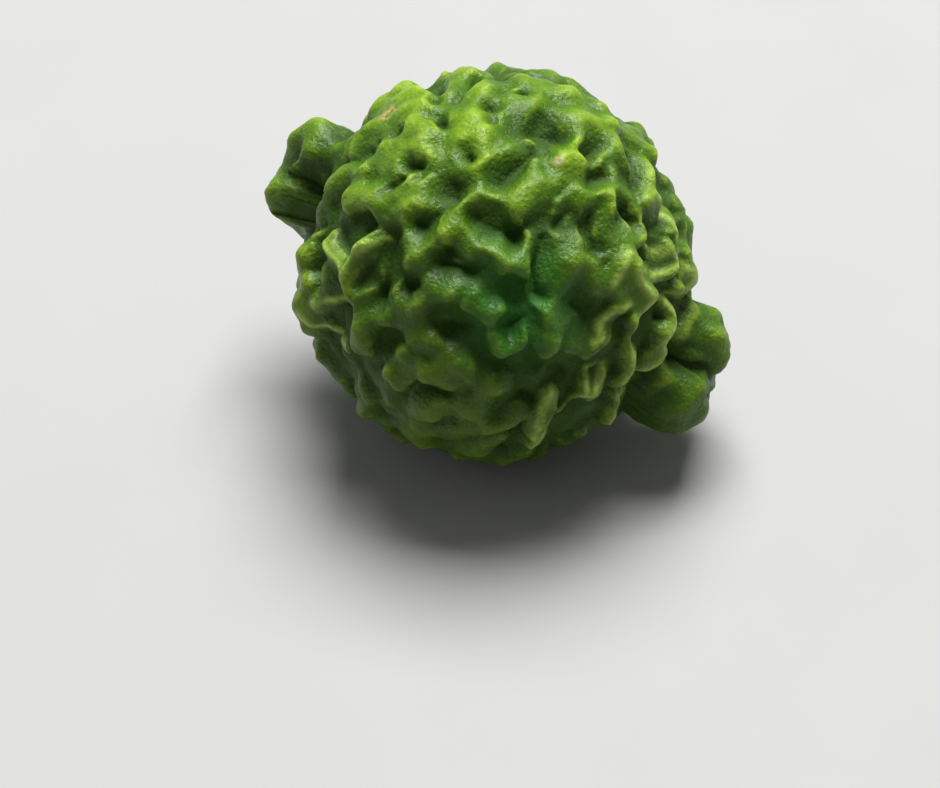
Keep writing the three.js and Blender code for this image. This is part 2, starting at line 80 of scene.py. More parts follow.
# The warts in sight, each a crest line: [half-width mm, height mm, [pixel x, y], ...].
WARTS = [
    # upper left shoulder
    (3.4, 2.8, (374, 103), (384, 94), (398, 87)),
    (3.6, 2.55, (373, 119), (379, 110), (389, 100), (403, 94), (418, 92)),
    (3.1, 2.05, (398, 112), (415, 108), (430, 110)),
    (3.1, 2.25, (356, 136), (368, 129), (384, 128)),
    (3.0, 2.45, (404, 122), (413, 130), (420, 139)),
    (2.5, 2.05, (430, 127), (432, 137)),
    (3.1, 2.65, (386, 150), (400, 150), (414, 155), (430, 153), (448, 150), (462, 147)),
    (2.5, 1.95, (440, 165), (453, 168)),
    (2.8, 2.15, (366, 168), (378, 167)),
    (2.8, 2.25, (398, 160), (398, 176)),
    # crown
    (3.4, 2.65, (440, 84), (452, 74), (466, 70)),
    (2.9, 2.45, (480, 73), (470, 83), (457, 90), (449, 103)),
    (2.6, 2.25, (452, 108), (455, 122), (452, 137)),
    (3.1, 2.45, (485, 80), (484, 95), (472, 108), (467, 122), (470, 136)),
    (3.1, 2.45, (484, 137), (498, 132), (512, 127)),
    (2.8, 2.25, (504, 104), (509, 116)),
    (3.1, 1.5, (492, 80), (508, 78), (516, 76)),
    (3.1, 2.5, (524, 76), (538, 77), (552, 84)),
    (3.1, 2.65, (503, 100), (515, 93), (530, 90), (546, 88), (560, 89)),
    (2.9, 2.0, (562, 91), (573, 98), (584, 108)),
    (2.9, 2.35, (534, 100), (540, 108), (530, 115), (518, 117)),
    (2.9, 2.45, (546, 103), (556, 108), (552, 118), (540, 124)),
    # upper right
    (2.9, 2.45, (563, 118), (578, 114), (592, 116), (608, 119), (624, 121)),
    (2.9, 1.9, (577, 90), (592, 99), (608, 111), (622, 120)),
    (2.9, 2.45, (592, 122), (602, 130), (612, 140)),
    (2.5, 2.25, (592, 136), (594, 149)),
    (2.8, 2.35, (605, 150), (600, 158)),
    (3.4, 2.65, (620, 142), (633, 152), (648, 163)),
    (3.1, 2.1, (632, 129), (644, 137), (649, 147)),
    (2.9, 2.25, (580, 166), (595, 164), (608, 168)),
    (3.4, 2.85, (572, 130), (566, 145), (556, 160), (546, 172), (536, 185), (520, 195), (504, 198)),
    (3.1, 2.45, (496, 151), (510, 148), (526, 146)),
    (2.6, 2.15, (482, 166), (490, 160)),
    # middle
    (2.8, 2.8, (410, 203), (422, 192), (434, 183)),
    (2.4, 2.5, (474, 180), (480, 190), (483, 200)),
    (2.9, 2.8, (345, 192), (362, 196), (378, 197), (388, 208), (396, 220), (402, 232)),
    (2.8, 3.0, (458, 213), (448, 226), (462, 234), (478, 243), (490, 251)),
    (2.4, 2.5, (492, 216), (508, 213)),
    (2.8, 2.8, (573, 207), (582, 196), (600, 191), (618, 191), (633, 198), (641, 212), (638, 228)),
    (2.2, 2.3, (604, 212), (607, 226), (603, 242)),
    (2.5, 2.6, (570, 228), (572, 240), (573, 254)),
    (2.5, 2.6, (613, 246), (624, 241), (629, 251), (626, 263)),
    (2.6, 2.6, (504, 262), (516, 262), (530, 257)),
    (2.3, 2.4, (514, 250), (528, 240)),
    (2.6, 2.6, (543, 288), (552, 277), (565, 278)),
    (2.5, 2.6, (574, 262), (586, 266), (596, 280), (600, 296), (592, 310)),
    (2.6, 2.6, (548, 305), (556, 318), (560, 332), (552, 345)),
    (2.8, 2.8, (409, 264), (413, 250), (424, 243)),
    (2.8, 2.8, (402, 300), (420, 297), (438, 292), (452, 281)),
    (2.4, 2.4, (470, 300), (482, 309), (494, 314)),
    (2.4, 2.4, (500, 345), (510, 342)),
    # left side
    (1.9, 3.0, (376, 240), (358, 249), (348, 263), (341, 281), (339, 295), (325, 303), (309, 305)),
    (1.7, 2.9, (306, 312), (311, 326), (323, 339), (336, 349)),
    (1.8, 2.5, (324, 243), (330, 256), (338, 268)),
    (2.2, 2.2, (322, 272), (323, 290)),
    (2.8, 3.3, (298, 256), (296, 270), (300, 284)),
    (3.0, 4.0, (296, 304), (296, 320), (300, 332)),
    (3.0, 3.4, (301, 336), (309, 351)),
    (2.9, 2.6, (316, 362), (327, 377)),
    (2.6, 2.6, (372, 312), (388, 310), (400, 304)),
    (2.6, 2.6, (358, 306), (357, 325), (356, 345)),
    # right side
    (1.8, 2.7, (655, 196), (667, 200), (675, 211), (680, 225), (684, 240)),
    (2.0, 2.5, (652, 170), (652, 186), (650, 200)),
    (2.4, 1.3, (664, 176), (672, 188)),
    (2.4, 2.2, (680, 200), (685, 212)),
    (2.2, 2.4, (662, 222), (672, 222)),
    (1.9, 2.6, (660, 252), (673, 250), (680, 260), (668, 271), (656, 272)),
    (2.4, 2.5, (687, 230), (688, 244)),
    (2.6, 2.8, (690, 262), (694, 274)),
    (1.6, 3.0, (685, 254), (693, 276), (692, 285), (683, 293), (674, 303), (675, 320), (667, 333)),
    (1.6, 2.8, (698, 298), (693, 312), (689, 325), (680, 336)),
    (1.7, 2.7, (664, 337), (661, 351), (654, 365), (646, 375)),
    (1.9, 2.8, (664, 368), (666, 381), (657, 391), (643, 394), (632, 402)),
    (2.2, 2.6, (622, 290), (632, 283), (645, 290)),
    (1.6, 3.1, (630, 254), (625, 269), (617, 283)),
    (1.6, 3.1, (637, 270), (648, 285), (652, 298), (649, 310), (642, 322)),
    (1.6, 3.1, (641, 326), (638, 342), (634, 361), (625, 382)),
    (1.6, 2.9, (634, 305), (618, 315), (609, 327), (607, 341), (600, 347)),
    (2.1, 2.3, (578, 345), (592, 350)),
    # underside in sight
    (1.7, 2.6, (596, 373), (588, 388), (583, 398)),
    (1.7, 3.3, (612, 379), (600, 392), (590, 402), (578, 408), (566, 420), (546, 438), (532, 447)),
    (1.6, 2.9, (552, 398), (542, 418), (534, 438)),
    (1.6, 2.6, (620, 400), (616, 414), (610, 421)),
    (2.0, 1.9, (602, 426), (586, 434), (566, 444)),
]

# The wide, low warts just past the horizon: their pixels are where the sight line comes out again.
HORIZON_WARTS = [
    (3.8, 2.5, (384, 120), (400, 104), (418, 96)),
    (3.8, 2.7, (440, 84), (458, 77), (470, 76)),
    (3.4, 1.9, (492, 66), (508, 65), (524, 66), (540, 69), (556, 74)),
    (3.4, 1.6, (572, 80), (588, 88), (602, 97)),
    (3.6, 1.2, (604, 116), (628, 136)),
    (3.4, 1.4, (648, 160), (662, 182), (674, 206)),
]

# The deep furrows and pits in sight: [half-width mm, floor in mm over the plain body, [pixel x, y], ...].
FURROWS = [
    # upper left shoulder
    (1.6, 0.1, (443, 130)),
    (1.6, -0.1, (405, 139), (398, 141)),
    (1.5, 0.1, (378, 147)),
    (1.6, -0.1, (420, 171), (412, 172)),
    (1.5, -0.1, (395, 194), (404, 186)),
    (1.4, 0.1, (440, 90), (441, 101)),
    (1.3, 0.1, (370, 119), (358, 124)),
    # crown
    (1.7, -0.3, (457, 74)),
    (1.6, -0.2, (502, 86)),
    (1.4, 0.0, (474, 91), (457, 109)),
    (1.6, -0.3, (488, 118)),
    (1.6, -0.3, (522, 104)),
    (2.5, -1.3, (522, 138), (536, 138), (549, 142)),
    (1.9, -0.5, (530, 157), (516, 170), (501, 184)),
    (1.7, -0.3, (472, 163)),
    (2.3, -1.0, (456, 194), (452, 203)),
    # upper right
    (1.6, -0.3, (585, 150), (583, 158)),
    (1.7, -0.3, (620, 162), (626, 175), (628, 187)),
    (1.6, -0.2, (605, 105)),
    (1.5, -0.1, (646, 145)),
    (1.7, -0.3, (600, 180), (585, 181)),
    # middle
    (2.0, -0.5, (425, 228)),
    (1.9, -0.5, (368, 232), (376, 226)),
    (2.1, -0.8, (398, 240), (391, 262), (388, 285), (385, 300)),
    (1.9, -0.5, (420, 283), (411, 287)),
    (1.9, -0.6, (480, 219), (495, 229), (511, 240)),
    (1.9, -0.5, (565, 214), (556, 226)),
    (2.0, -0.8, (541, 236), (538, 262), (534, 290)),
    (2.5, -1.4, (569, 300), (578, 307), (582, 318)),
    (1.7, -0.3, (587, 215), (588, 232), (591, 250)),
    (1.7, -0.3, (618, 212), (624, 225)),
    (2.0, -0.6, (650, 200), (652, 218), (642, 236), (646, 262)),
    (1.9, -0.5, (510, 325), (522, 316)),
    (2.0, -0.5, (478, 272), (462, 268), (445, 266)),
    (2.0, -0.8, (470, 325), (455, 322), (440, 318)),
    # left side
    (2.1, -1.0, (352, 300), (347, 322), (345, 346)),
    (1.9, -0.8, (303, 316), (306, 326)),
    (1.7, -0.5, (330, 228), (316, 238)),
    (1.7, -0.5, (312, 262), (311, 284)),
    # right side
    (1.7, -0.3, (668, 238), (668, 229)),
    (1.7, -0.4, (657, 291), (664, 300), (664, 316)),
    (1.7, -0.3, (634, 314), (628, 330)),
    (1.5, -0.2, (668, 262)),
    (1.7, -0.3, (662, 330), (668, 345)),
    (1.6, -0.3, (674, 300), (683, 318)),
    # underside in sight
    (1.9, -0.5, (600, 364), (583, 364)),
    (1.9, -0.5, (560, 371), (548, 366)),
    (1.9, -0.8, (530, 396), (520, 388)),
    (1.9, -0.5, (566, 396), (556, 410)),
    (1.7, -0.3, (630, 388)),
    (1.7, -0.3, (604, 408), (592, 416)),
]

# The creases that part the lobes of the two ends, and the hollow under the neck:
# [half-width mm, floor in mm over the plain body, [pixel x, y, mm towards the eye], ...].
CREASES = [
    (1.7, -1.3, (296, 184, 1), (312, 176, -2), (330, 168, 2)),
    (4.4, -1.6, (330, 190, 4), (322, 206, 3), (313, 226, 1)),
    (1.8, -1.6, (670, 354, 4), (688, 359, 3), (704, 368, 2), (716, 371, -1), (720, 368, -5)),
    (1.3, -1.0, (692, 388, 3), (706, 391, 1), (712, 392, -4)),
    (2.4, -1.2, (640, 392, 12), (655, 404, 8), (648, 424, 2)),
]

# The lobes at the two ends: [radius mm, [pixel x, y], mm from the ball's middle plane towards the eye].
STEM_END_LOBES = [
    (5.0, (323, 152), 0),
    (3.7, (304, 170), -4),
    (4.0, (293, 197), -3),
    (5.0, (322, 160), -13),
    (6.2, (326, 178), -10),
    (5.0, (303, 198), -14),
    (4.2, (314, 214), -10),
]

BLOSSOM_END_LOBES = [
    (5.2, (690, 333), 1),
    (3.4, (704, 340), 0),
    (3.0, (698, 366), 0),
    (2.8, (689, 388), 1),
    (4.4, (676, 396), 1),
    (5.6, (658, 392), 1),
    (5.2, (686, 344), -8),
    (4.4, (680, 370), -9),
    (5.0, (666, 386), -8),
    (7.4, (668, 360), -4),
]

# The warts out of sight are drawn from this seed, on a lattice all round the ball.
SEED = 20260
LATTICE_POINTS = 250
CLEAR_OF_WARTS = 5.6  # a drawn wart keeps this far from the ones in sight
DRAWN_HALF_WIDTH = (2.4, 3.1)
DRAWN_HEIGHT = (2.1, 2.9)
DRAWN_LENGTH = (2, 8)
DRAWN_BEND = (-0.9, 0.9)  # between a drawn wart's two halves, in radians
LATTICE_JITTER = 0.05  # as a share of the ball's radius
WARP_WAVES = 4
WRINKLE_WAVES = 9
WAVE_SPREAD = (0.75, 1.4)  # the waves' lengths, as shares of the middle one

# Where the socket is on the neck's end: its pixel, and mm from the ball's middle plane towards the eye.
SOCKET_PIXEL = (311, 182)
SOCKET_TOWARDS_EYE = -16

# The socket in the neck's end, and the stem button in it.
SOCKET_RADIUS = 2.9
SOCKET_DEPTH = 1.3
SOCKET_AWAY = 0.7  # how much it faces away from the eye
SOCKET_RIM = (-0.35, 0.45)  # where its floor starts to rise and where it has risen, over its radius
RIM_RISE = 6.0  # how steeply it rises there
SOCKET_REACH = 5.0  # how far under its mouth the rind is still pressed down
BUTTON_RADIUS = 2.4
BUTTON_FLOOR = 0.35  # its underside over the socket's floor
SEPALS = 5
SEPAL_WAVE = 0.14  # how far the edge draws in between two sepals, twice over
CALYX_HEIGHT = 0.7  # the sepals lie below this, and the round stump is above it
BUTTON_STEPS = 90  # round the button
# The button's profile from below: (share of its radius, mm over its underside).
BUTTON_PROFILE = [
    (0.0, -0.05), (0.55, -0.05), (0.93, 0.0), (1.0, 0.12), (0.97, 0.30), (0.86, 0.48), (0.72, 0.62),
    (0.64, 0.80), (0.58, 1.0), (0.53, 1.25), (0.51, 1.5), (0.52, 1.65), (0.49, 1.78), (0.38, 1.82),
    (0.25, 1.7), (0.12, 1.62), (0.0, 1.62),
]
# Its fibres and its unevenness, each a wave round it: (height, waves round it, turn per mm upwards).
REACH_FIBRES = [(0.035, 17, 2), (0.02, 31, 0)]
LIFT_FIBRES = [(0.05, 7, 1), (0.04, 13, 0)]

# The warts that it rests on, one under the ball's middle and more around it.
SEAT = (3.4, 2.6)  # half-width and height
SEATS_AROUND = 3
SEAT_SPREAD = 5.2  # from the middle one to the others

# Wrinkles that are too fine for the solid, in mm.
FINE_WRINKLE = 0.07
FINE_WRINKLE_LENGTH = 1.7
FINE_WRINKLE_WAVES = 12
FINE_PATCH_LENGTH = 8.0  # the patches in which they are strong or weak
FINE_PATCH_WAVES = 5

# The narrow warts have a thin raised line along their crest, also too fine for the solid, with a painted
# reflection: a pale sheen painted along it.
SHARP_WART = 1.9  # the widest half-width that has one
CREST_LINE = (0.55, 0.25)  # its half-width and height

# What the rind's colour follows, in mm.
WIDE_ROUNDS = 60  # rounds of averaging that make the surface around a furrow
HOLLOW_DEPTH = 1.6  # under the surface around, where the painted shade of a hollow is at its darkest
CLOSE_ROUNDS = 6  # over the surface close by, where the painted highlight on a ridge is at its palest
RIDGE_HEIGHT = 0.25  # over the surface close by, where a ridge is at its palest
RISE_HEIGHT = 3.0  # over the plain body, where a wart is at its brightest
LOBE_HEIGHT = 4.0  # over the ball, where the ends' lobes count as whole
CREST_FADE = 4  # how fast the pale lines fade out onto a lobe
LOBE_RISE = 0.74  # a lobe's plain rind is coloured like this share of a wart's height
PAINTED_SHADE_SHARE = 0.62  # how far the rind is painted a deeper green as shade, on the side away from the light above

# The way that the painted shade is lit from, mostly from above, and from which side to which it fades.
PAINTED_LIGHT_FROM = np.array([-0.2, 0.6, 0.8])
PAINTED_SHADE_REACH = (-0.45, 0.65)

# Colours, as linear red, green and blue.
# painted shade, mixed into the furrows and hollows
PAINTED_FURROW_SHADE = (0.017, 0.043, 0.004)
DEEP_GREEN = (0.028, 0.073, 0.005)
MID_GREEN = (0.068, 0.156, 0.006)
YELLOW_GREEN = (0.205, 0.335, 0.014)
# pale flecks, and painted highlights on the sharpest ridges
PALE_FLECK_AND_PAINTED_HIGHLIGHT = (0.385, 0.53, 0.05)
# painted reflection: a pale sheen along the crests of the narrow warts
PAINTED_CREST_SHEEN = (0.35, 0.50, 0.085)
COOL_GREEN = (0.020, 0.135, 0.014)
SCAR_TAN = (0.42, 0.31, 0.10)
SPOT_TAN = (0.50, 0.38, 0.22)
DRY_DARK = (0.10, 0.065, 0.025)
DRY_PALE = (0.42, 0.32, 0.15)
DRY_GREEN = (0.20, 0.22, 0.07)
FLOOR_PALE = (0.35, 0.35, 0.346)
FLOOR_PALER = (0.37, 0.37, 0.366)

# Marks in sight: the pixel of the photograph, then in mm how far it reaches and how soft and how
# ragged its edge is, then how strong it is.
COOL_PATCH = (517, 306)
COOL_REACH = (7.5, 7.0, 0.9)
COOL_SHARE = 0.72
SCAR = (387, 114)
SCAR_REACH = (1.5, 0.9, 0.9)
SCAR_SHARE = 0.85
SCAR_GRAIN = 1.1  # the size of the gaps in it
CORKY_SPOT = (555, 158)
SPOT_REACH = (0.8, 0.6, 0.4)
SPOT_SHARE = 0.55
RAGGED_LENGTH = 3.5  # of the waves in those edges

# The rind's clouds of colour and its fine surface, with sizes and depths in mm.
CLOUD_SIZE = 9.0
DAB_SIZE = 1.7
FLECK_SIZE = 0.6
FLECK_SHARE = 0.16
# how strong the painted shade in the hollows is
PAINTED_HOLLOW_SHADE_SHARE = 0.5
CREASE_SIZE, CREASE_DEPTH = 1.1, 0.14
GLAND_SIZE, GLAND_DEPTH = 0.85, 0.07
PORE_SIZE, PORE_DEPTH = 0.38, 0.03
WEAR_SIZE = 2.4
RIND_ROUGHNESS = (0.31, 0.46)
FURROW_DULLNESS = 0.35  # added to that in the furrows
RIND_SHINE = 0.21
UNDER_SHARE = 0.12  # of the light that goes in under the surface
UNDER_REACH = (0.6, 1.0, 0.15)  # how far its red, green and blue go there
UNDER_DEPTH = 1.2

# The dry button's surface.
FIBRE_SIZE, FIBRE_DEPTH = 0.5, 0.12
CORK_SIZE, CORK_DEPTH = 0.3, 0.04
STEM_ROUGHNESS = (0.7, 0.9)

# The studio, in metres and watts. A light's place is to the right, above, and towards the camera.
FLOOR_SIZE = 14.0
FLOOR_GRAIN = 30  # in mm
FLOOR_ROUGHNESS = 0.7
SKY_STRENGTH = 0.19
KEY_PLACE, KEY_SIZE, KEY_POWER = (0.1, 2.1, -0.75), 1.05, 64.0
RIM_RIGHT_PLACE, RIM_LEFT_PLACE = (1.2, 0.5, -0.5), (-1.2, 0.5, -0.5)
RIM_SIZE, RIM_POWER = 0.9, 2.4


class Draws:
    """Seeded draws, in the same order as the solid's."""

    def __init__(self, seed):
        self.state = seed

    def __call__(self, low=0.0, high=1.0):
        self.state = (self.state * 1664525 + 1013904223) & 0xFFFFFFFF
        return low + (high - low) * self.state / 4294967296


draw = Draws(SEED)


def unit(v):
    return v / np.linalg.norm(v, axis=-1, keepdims=True)


def point_at(pixel, towards_eye):
    """A point given by its pixel and its distance towards the eye, from the ball's middle."""
    scale = 1 - towards_eye / EYE_DISTANCE
    across = scale * (pixel[0] - MIDDLE_PIXEL[0]) / PIXELS_PER_MM
    above = scale * (MIDDLE_PIXEL[1] - pixel[1]) / PIXELS_PER_MM
    return RIGHT * across + UP * above + BACK * towards_eye


def seen_on_ball(pixel, radius, side=-1):
    """Where the sight line through a pixel enters the ball of this radius (side -1), or leaves it (side 1).

    A line that misses the ball gives the place that it passes most closely.
    """
    eye = BACK * EYE_DISTANCE
    sight = unit(point_at(pixel, 0) - eye)
    middle = -eye.dot(sight)
    inside = middle * middle - eye.dot(eye) + radius * radius
    reach = middle + side * math.sqrt(max(0.0, inside))
    return radius * unit(eye + sight * reach)


def wart(half_width, height, crest):
    """A round-ended worm: its crest line sunk so that its back stands this high over the ball."""
    depth = BALL_RADIUS + height - half_width
    return {"radius": half_width, "line": depth * unit(np.array(crest)), "lobe": False}


def warts_at(places, side):
    """The warts of a list, on the near side of the ball (side -1) or on its far side (side 1)."""
    return [
        wart(half_width, height, [seen_on_ball(p, BALL_RADIUS + height, side) for p in pixels])
        for half_width, height, *pixels in places
    ]


def furrows():
    """V-shaped cuts along a line, open at the top and closed at their floor."""
    on_ball = [
        (half_width, floor, *[seen_on_ball(p, BALL_RADIUS + floor) for p in pixels])
        for half_width, floor, *pixels in FURROWS
    ]
    on_lobes = [
        (half_width, floor, *[point_at((x, y), towards_eye) for x, y, towards_eye in places])
        for half_width, floor, *places in CREASES
    ]
    return [
        {
            "floor": floor,
            "slope": half_width / FURROW_TOP,
            "line": BALL_RADIUS * unit(np.array(places)),
        }
        for half_width, floor, *places in on_ball + on_lobes
    ]


def lobes():
    """The round lobes of the two ends."""
    return [
        {"radius": radius, "line": point_at(pixel, towards_eye)[None], "lobe": True}
        for radius, pixel, towards_eye in STEM_END_LOBES + BLOSSOM_END_LOBES
    ]


def seats():
    """The warts that the fruit rests on."""
    turns = [2 * math.pi * i / SEATS_AROUND for i in range(SEATS_AROUND)]
    around = [(SEAT_SPREAD * math.cos(t), SEAT_SPREAD * math.sin(t)) for t in turns]
    return [wart(*SEAT, [np.array([x, y, -BALL_RADIUS])]) for x, y in [(0.0, 0.0)] + around]


def distance_to_line(p, line):
    """How far each point is from a line through points."""
    if len(line) == 1:
        return np.linalg.norm(p - line[0], axis=-1)
    nearest = np.full(p.shape[:-1], np.inf)
    for a, b in zip(line[:-1], line[1:]):
        along = b - a
        t = np.clip((p - a) @ along / along.dot(along), 0, 1)
        nearest = np.minimum(nearest, np.linalg.norm(p - a - t[..., None] * along, axis=-1))
    return nearest


def drawn_warts(placed):
    """Warts that fill the rind wherever the ones in sight leave it bare."""
    made = []
    golden_angle = math.pi * (3 - math.sqrt(5))
    for i in range(LATTICE_POINTS):
        height = 1 - 2 * (i + 0.5) / LATTICE_POINTS
        across = math.sqrt(1 - height * height)
        middle = np.array([
            across * math.cos(i * golden_angle),
            across * math.sin(i * golden_angle),
            height,
        ])
        jitter = np.array([draw(-1, 1), draw(-1, 1), draw(-1, 1)])
        middle = BALL_RADIUS * unit(middle + LATTICE_JITTER * jitter)
        turn = draw(0, math.pi)
        bend = draw(*DRAWN_BEND)
        half = draw(*DRAWN_LENGTH) / 2
        half_width = draw(*DRAWN_HALF_WIDTH)
        tall = draw(*DRAWN_HEIGHT)
        if any(distance_to_line(middle, w["line"]) < CLEAR_OF_WARTS for w in placed):
            continue
        east = unit(np.cross([0.0, 0.0, 1.0], middle))
        north = unit(np.cross(middle, east))
        first = middle + half * (east * math.cos(turn) + north * math.sin(turn))
        other = turn + math.pi + bend
        last = middle + half * (east * math.cos(other) + north * math.sin(other))
        made.append(wart(half_width, tall, [first, middle, last]))
    return made


def waves(count, wavelength):
    """Smooth seeded waves in several directions at once."""
    made = []
    for _ in range(count):
        direction = unit(np.array([draw(-1, 1), draw(-1, 1), draw(-1, 1)]))
        length = wavelength * draw(*WAVE_SPREAD)
        made.append((direction * 2 * math.pi / length, draw(0, 2 * math.pi)))
    return made


def wave_sum(made, p):
    return sum(np.sin(p @ direction + phase) for direction, phase in made) / math.sqrt(len(made))


swellings = warts_at(WARTS, -1) + warts_at(HORIZON_WARTS, 1) + lobes() + seats()
bumps = swellings + drawn_warts(swellings)
warp_waves = [waves(WARP_WAVES, WARP_LENGTH) for _ in range(3)]
wrinkle_waves = waves(WRINKLE_WAVES, WRINKLE_LENGTH)
cuts = furrows()
fine_waves = waves(FINE_WRINKLE_WAVES, FINE_WRINKLE_LENGTH)
fine_patches = waves(FINE_PATCH_WAVES, FINE_PATCH_LENGTH)


def body_along(directions):
    """The radius of the ball and its lobes alone, with no warts, furrows or wrinkles."""
    radius = np.full(len(directions), float(OUTSIDE))
    for _ in range(BODY_STEPS):
        p = directions * radius[:, None]
        body = np.exp((BALL_RADIUS - radius) / LOBE_BLEND)
        for b in bumps:
            if b["lobe"]:
                body += np.exp((b["radius"] - distance_to_line(p, b["line"])) / LOBE_BLEND)
        radius += LOBE_BLEND * np.log(body)
    return radius


def rind_along(directions):
    """The rind's radius along rays from the ball's middle, found by walking in from outside."""
    place = directions * (BALL_RADIUS + REACH_HEIGHT)
    near = [(b, np.nonzero(distance_to_line(place, b["line"]) < b["radius"] + REACH)[0]) for b in bumps]
    near_cuts = [(c, np.nonzero(distance_to_line(place, c["line"]) < REACH)[0]) for c in cuts]
    radius = np.full(len(directions), float(OUTSIDE))
    for _ in range(WALK_STEPS):
        p = directions * radius[:, None]
        q = p + WARP * np.stack([wave_sum(w, p) for w in warp_waves], axis=-1)
        reach = np.linalg.norm(q, axis=-1)
        on_ball = q * (BALL_RADIUS / reach)[:, None]
        body = np.exp((BALL_RADIUS - reach) / LOBE_BLEND)
        joined = np.zeros(len(directions))
        for b, at in near:
            inside = b["radius"] - distance_to_line(q[at], b["line"])
            if b["lobe"]:
                body[at] += np.exp(inside / LOBE_BLEND)
            else:
                joined[at] += np.exp(inside / BLEND)
        over_body = -LOBE_BLEND * np.log(body)
        joined += np.exp(-over_body / BLEND)
        kept = 1 / joined
        for c, at in near_cuts:
            depth = (over_body[at] - c["floor"]) * c["slope"] - distance_to_line(on_ball[at], c["line"])
            kept[at] += np.exp(depth / BLEND)
        outside = BLEND * np.log(kept) + WRINKLE * wave_sum(wrinkle_waves, p)
        radius -= WALK_SHARE * outside
    return radius


def cube_grid(cells):
    """Directions all round from a grid on each side of a cube, and the four corners of each cell."""
    keys, quads = [], []
    steps = np.arange(cells + 1)
    for axis in range(3):
        for side in (0, cells):
            u, v = np.meshgrid(steps, steps, indexing="ij")
            spot = np.empty(u.shape + (3,), dtype=np.int64)
            spot[..., axis] = side
            spot[..., (axis + 1) % 3] = u
            spot[..., (axis + 2) % 3] = v
            start = sum(len(k) for k in keys)
            index = start + np.arange(u.size).reshape(u.shape)
            keys.append(spot.reshape(-1, 3))
            corners = [index[:-1, :-1], index[1:, :-1], index[1:, 1:], index[:-1, 1:]]
            if side == 0:
                corners.reverse()
            quads.append(np.stack(corners, axis=-1).reshape(-1, 4))
    keys, quads = np.concatenate(keys), np.concatenate(quads)
    lattice, merged = np.unique(keys, axis=0, return_inverse=True)
    directions = unit(np.tan((2 * lattice / cells - 1) * math.pi / 4))
    return directions, merged.reshape(-1)[quads]


def spread(values, quads, rounds):
    """Each value averaged with its neighbours' along the grid, this many times."""
    a = np.concatenate([quads[:, 0], quads[:, 1], quads[:, 2], quads[:, 3]])
    b = np.concatenate([quads[:, 1], quads[:, 2], quads[:, 3], quads[:, 0]])
    share = np.bincount(a, minlength=len(values))
    for _ in range(rounds):
        values = 0.5 * values + 0.5 * np.bincount(a, values[b], minlength=len(values)) / share
    return values


def set_value(mesh, name, values):
    mesh.attributes.new(name, "FLOAT", "POINT").data.foreach_set("value", values.astype(np.float32))


def add_mesh(name, points, faces):
    """A smooth mesh object in the model's frame, from points in mm over the ball's middle."""
    mesh = bpy.data.meshes.new(name)
    placed = (np.asarray(points) + np.array([0.0, 0.0, CENTRE_HEIGHT])) * MM
    mesh.from_pydata(placed.tolist(), [], [tuple(int(i) for i in f) for f in faces])
    mesh.validate()
    mesh.polygons.foreach_set("use_smooth", [True] * len(mesh.polygons))
    mesh.update()
    piece = bpy.data.objects.new(name, mesh)
    bpy.context.scene.collection.objects.link(piece)
    return piece


# The socket's place on the neck's end, and the way that it faces.
socket_ray = unit(point_at(SOCKET_PIXEL, SOCKET_TOWARDS_EYE))
socket_place = socket_ray * rind_along(socket_ray[None])[0]
socket_facing = unit(socket_ray - SOCKET_AWAY * BACK)
socket_east = unit(np.cross(socket_facing, UP))
socket_north = np.cross(socket_facing, socket_east)


def sink_socket(p):
    """The rind inside the socket is pressed down to its floor, with a rounded rim."""
    from_place = p - socket_place
    over = from_place @ socket_facing
    off = np.linalg.norm(from_place - over[:, None] * socket_facing, axis=-1)
    rim = np.clip((off - SOCKET_RADIUS - SOCKET_RIM[0]) / (SOCKET_RIM[1] - SOCKET_RIM[0]), 0, 1)
    allowed = -SOCKET_DEPTH + RIM_RISE * rim ** 2
    close = (off < SOCKET_RADIUS + 1) & (over > -SOCKET_REACH)
    sink = np.where(close, np.maximum(0, over - allowed), 0)
    return p - sink[:, None] * socket_facing


def crest_lines(p):
    """1 on the crests of the narrow warts, and 0 off them."""
    q = p + WARP * np.stack([wave_sum(w, p) for w in warp_waves], axis=-1)
    on_ball = BALL_RADIUS * unit(q)
    narrow = [b for b in swellings if not b["lobe"] and b["radius"] <= SHARP_WART]
    gap = np.min([distance_to_line(on_ball, BALL_RADIUS * unit(b["line"])) for b in narrow], axis=0)
    return np.exp(-((gap / CREST_LINE[0]) ** 2))


